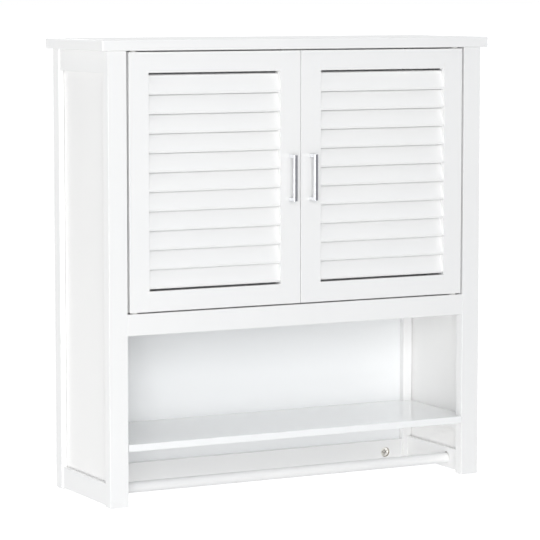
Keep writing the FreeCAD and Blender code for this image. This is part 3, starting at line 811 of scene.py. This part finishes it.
def strikePlate(side):
    use = strike
    low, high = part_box(f"{side}_strike_plate")
    middle = (low + high) / 2
    line = (middle.x, 0, middle.z)
    sink, head, clear = use["sink"], use["head"], cutting["clear"]
    floor = low.y + use["floor"]
    work = bmesh.new()
    prism(work, roundedOutline(low, high, use["corner"], use["cornerSteps"]), low.y, high.y)
    plate = newPiece(f"{side}_strike", meshFrom("strike", work))
    cut = bmesh.new()
    turned(cut, [(0, floor), (sink * use["sinkFoot"], floor), (sink, high.y + use["sinkLift"]),
                 (sink, high.y + clear), (0, high.y + clear)], cutting["roundSteps"], line)
    carved(plate, cut, arrisWidth=use["edge"])
    top = high.y - use["headDrop"]
    work = bmesh.new()
    turned(work, [(0, floor), (head * use["headFoot"], floor), (head, top - use["headEase"]),
                  (head * use["headTop"], top), (0, top)], cutting["roundSteps"], line)
    screw = newPiece("strikeScrew", meshFrom("strikeScrew", work))
    cut = bmesh.new()
    plusPrism(cut, (middle.x, middle.z), use["reach"], use["half"], top - use["recess"], top + clear)
    carved(screw, cut)
    whole = bmesh.new()
    whole.from_mesh(plate.data)
    whole.from_mesh(screw.data)
    bpy.data.objects.remove(screw)
    mesh = meshFrom(f"{side}_strike", whole)
    mesh.materials.append(zincFinish)
    plate.data = mesh
    settle(plate, use["smooth"])
    dress(plate, f"{side}_door", "steel", f"{side}_strike_plate")


for side in sides:
    strikePlate(side)


# Magnetic catch: a moulded housing with a window for each door's magnet and a screw from below
catch = {"edge": 0.8 * mm, "smooth": 40.0, "window": (13 * mm, 3 * mm, 8 * mm), "across": 14 * mm,
         "screwWell": 3.4 * mm, "wellDepth": 9 * mm}
# The magnets' poles and the screw head. The head is rings of a share of its radius and a drop from its seat
poles = {"thickness": 1.4 * mm, "gap": 3.2 * mm, "inset": 0.4 * mm, "front": 0.1 * mm, "sunk": 0.2 * mm,
         "edge": 0.15 * mm, "smooth": 30.0, "head": 3.0 * mm,
         "rings": [(0, -0.2 * mm), (1, -0.2 * mm), (1, 0.8 * mm), (0.7, 1.7 * mm), (0, 2 * mm)]}


def catchHousing(low, high, middle):
    use = catch
    wide, deep, tall = use["window"]
    clear, well, seat = cutting["clear"], use["screwWell"], low.z + use["wellDepth"]
    work = bmesh.new()
    block(work, low, high)
    housing = newPiece("catch_housing", meshFrom("catch_housing", work))
    cut = bmesh.new()
    for sign in sides.values():
        across = sign * use["across"]
        block(cut, (across - wide / 2, low.y - clear, middle.z - tall / 2),
              (across + wide / 2, low.y + deep, middle.z + tall / 2))
    turned(cut, [(0, low.z - clear), (well, low.z - clear), (well, seat), (0, seat)],
           cutting["roundSteps"], (middle.x, middle.y, 0), "Z")
    carved(housing, cut, use["smooth"], use["edge"])
    housing.data.materials.clear()
    housing.data.materials.append(plasticFinish)
    dress(housing, "carcass", "white_plastic", "magnetic_catch")


def catchPoles(low, middle):
    use = poles
    wide, deep, tall = catch["window"]
    half = wide / 2 - use["inset"]
    seat = low.z + catch["wellDepth"]
    work = bmesh.new()
    for sign in sides.values():
        across = sign * catch["across"]
        for lift in (-1, 1):
            height = middle.z + lift * use["gap"] / 2
            block(work, (across - half, low.y + use["front"], height - use["thickness"] / 2),
                  (across + half, low.y + deep + use["sunk"], height + use["thickness"] / 2))
    turned(work, [(use["head"] * out, seat - drop) for out, drop in use["rings"]],
           cutting["roundSteps"], (middle.x, middle.y, 0), "Z")
    piece = newPiece("catch_poles", meshFrom("catch_poles", work))
    easeEdges(piece, use["edge"], 1)
    piece.data.materials.append(zincFinish)
    settle(piece, use["smooth"])
    dress(piece, "carcass", "steel")


catchLow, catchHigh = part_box("magnetic_catch")
catchMiddle = (catchLow + catchHigh) / 2
catchHousing(catchLow, catchHigh, catchMiddle)
catchPoles(catchLow, catchMiddle)
print("strike plates and catch made")


# Towel rail: a turned bar with eased ends
towelBar = {"ease": 0.9 * mm, "easeShare": 0.3, "steps": 72, "smooth": 50.0}


def towelRail():
    low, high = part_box("towel_rail")
    middle = (low + high) / 2
    radius = (high.z - low.z) / 2
    ease = towelBar["ease"]
    soft = ease * towelBar["easeShare"]
    work = bmesh.new()
    turned(work, [(0, low.x), (radius - ease, low.x), (radius - soft, low.x + soft), (radius, low.x + ease),
                  (radius, high.x - ease), (radius - soft, high.x - soft), (radius - ease, high.x),
                  (0, high.x)], towelBar["steps"], (0, middle.y, middle.z), "X")
    mesh = meshFrom("towel_bar", work)
    mesh.materials.append(satinLacquer("satinLacquer_towel_bar", "X"))
    bar = settle(newPiece("towel_bar", mesh), towelBar["smooth"])
    dress(bar, "carcass", "white_paint", "towel_rail")


towelRail()
print("towel rail turned")


# Studio: a wide soft key lamp on the front left, weaker lamps for the other sides, a white surround and a
# grey card. A turn is from the front towards the left, a rise is above level, both in degrees
studio = {
    "floorDrop": 0.95,
    "floorHalf": 300.0,
    "floorTone": (0.5, 0.5, 0.5, 1),
    "floorLift": ((0.72, 0.72, 0.72, 1), (1, 1, 1, 1)),
    "floorFade": (1.2, 4.0),
    "surround": (0.94, 0.97, 1.0, 1),
    "surroundStrength": 0.33,
    "white": (1, 1, 1, 1),
    "lampTone": (1, 1, 1),
    "lamps": {
        "key": {"turn": 22, "rise": 8, "away": 6.0, "size": 3.6, "watts": 211},
        "keyLow": {"turn": 35, "rise": -14, "away": 3.4, "size": 1.8, "watts": 13},
        "leftLow": {"turn": 82, "rise": -15, "away": 3.1, "size": 1.6, "watts": 33,
                    "tone": (1, 0.99, 0.975)},
        "rightSide": {"turn": -105, "rise": 10, "away": 3.1, "size": 1.6, "watts": 40},
        "back": {"turn": 180, "rise": 12, "away": 3.3, "size": 1.6, "watts": 38},
        "top": {"turn": 20, "rise": 80, "away": 3.0, "size": 2.0, "watts": 19},
    },
    "card": {"turn": -27.4, "rise": -1.1, "away": 2.6, "size": 1.1, "tone": (0.34, 0.34, 0.36, 1)},
}


def aimed(piece, use):
    # sets a lamp or a card round the cabinet, turned to its middle
    low, high = cadBox
    turn, rise = math.radians(use["turn"]), math.radians(use["rise"])
    way = Vector((-math.sin(turn) * math.cos(rise), -math.cos(turn) * math.cos(rise), math.sin(rise)))
    piece.location = (low + high) / 2 + way * use["away"]
    piece.rotation_euler = (-way).to_track_quat("-Z", "Y").to_euler()
    piece.visible_camera = False


def seenAsWhite(start):
    # 1 for what the camera sees, straight or in a reflection, and 0 for the light that falls on the cabinet
    path = start.node("ShaderNodeLightPath", {}, {}, "Is Camera Ray")
    return path.most(path.pin("Is Glossy Ray")).most(path.pin("Is Transmission Ray"))


def square(name, half, level=0.0):
    corners = [(-half, -half, level), (half, -half, level), (half, half, level), (-half, half, level)]
    mesh = bpy.data.meshes.new(name)
    mesh.from_pydata(corners, [], [(0, 1, 2, 3)])
    return mesh


def whiteSurround():
    world = bpy.data.worlds.new("whiteSurround")
    bpy.context.scene.world = world
    world.use_nodes = True
    world.node_tree.nodes.clear()
    start = Wire(world.node_tree)
    seen = seenAsWhite(start)
    lit = start.node("ShaderNodeBackground", {}, {
        "Color": studio["surround"], "Strength": studio["surroundStrength"]})
    shown = start.node("ShaderNodeBackground", {}, {"Color": studio["white"], "Strength": 1.0})
    both = seen.node("ShaderNodeMixShader", {}, {0: seen, 1: lit, 2: shown})
    both.node("ShaderNodeOutputWorld", {}, {"Surface": both})


def paleFloor():
    # far below the cabinet, lifted to white for the camera, more so farther out
    mesh = square("floor", studio["floorHalf"], cadBox[0].z - studio["floorDrop"])
    material, at = newFinish("paleFloor")
    seen = seenAsWhite(at)
    matt = at.node("ShaderNodeBsdfDiffuse", {}, {"Color": studio["floorTone"]})
    reach = at.node("ShaderNodeVectorMath", {"operation": "LENGTH"}, {"Vector": at}, "Value")
    lift = reach.between(*studio["floorFade"]).blend(*studio["floorLift"])
    glow = at.node("ShaderNodeEmission", {}, {"Color": lift, "Strength": 1.0})
    lifted = at.node("ShaderNodeAddShader", {}, {0: matt, 1: glow})
    both = at.node("ShaderNodeMixShader", {}, {0: seen, 1: matt, 2: lifted})
    both.node("ShaderNodeOutputMaterial", {}, {"Surface": both})
    mesh.materials.append(material)
    floor = newPiece("studio_floor", mesh)


def greyCard():
    # the darker side of the studio, which only polished metal shows
    use = studio["card"]
    mesh = square("card", use["size"] / 2)
    material, at = newFinish("greyCard")
    glow = at.node("ShaderNodeEmission", {}, {"Color": use["tone"], "Strength": 1.0})
    glow.node("ShaderNodeOutputMaterial", {}, {"Surface": glow})
    mesh.materials.append(material)
    card = newPiece("studio_card", mesh)
    aimed(card, use)
    card.visible_diffuse = False
    card.visible_shadow = False


def softLamp(name, use):
    data = bpy.data.lights.new(name, "AREA")
    data.energy = use["watts"]
    data.size = use["size"]
    data.color = use.get("tone", studio["lampTone"])
    aimed(newPiece(name, data), use)


whiteSurround()
paleFloor()
greyCard()
for name, lampUse in studio["lamps"].items():
    softLamp(name, lampUse)
print("studio lit")


# Camera at the photograph's place, level roll, no shift
shot = {"place": (-1.7908, -3.5086, 0.0934), "yaw": 27.72, "pitch": 5.98, "lens": 176.55, "sensor": 36.0}
camera = bpy.data.cameras.new("shot")
camera.lens = shot["lens"]
camera.sensor_width = shot["sensor"]
cameraObject = newPiece("shot", camera)
cameraObject.location = shot["place"]
cameraObject.rotation_euler = (math.radians(90 - shot["pitch"]), 0, math.radians(-shot["yaw"]))
bpy.context.scene.camera = cameraObject
bpy.context.scene.view_settings.view_transform = "Standard"
print("camera set")
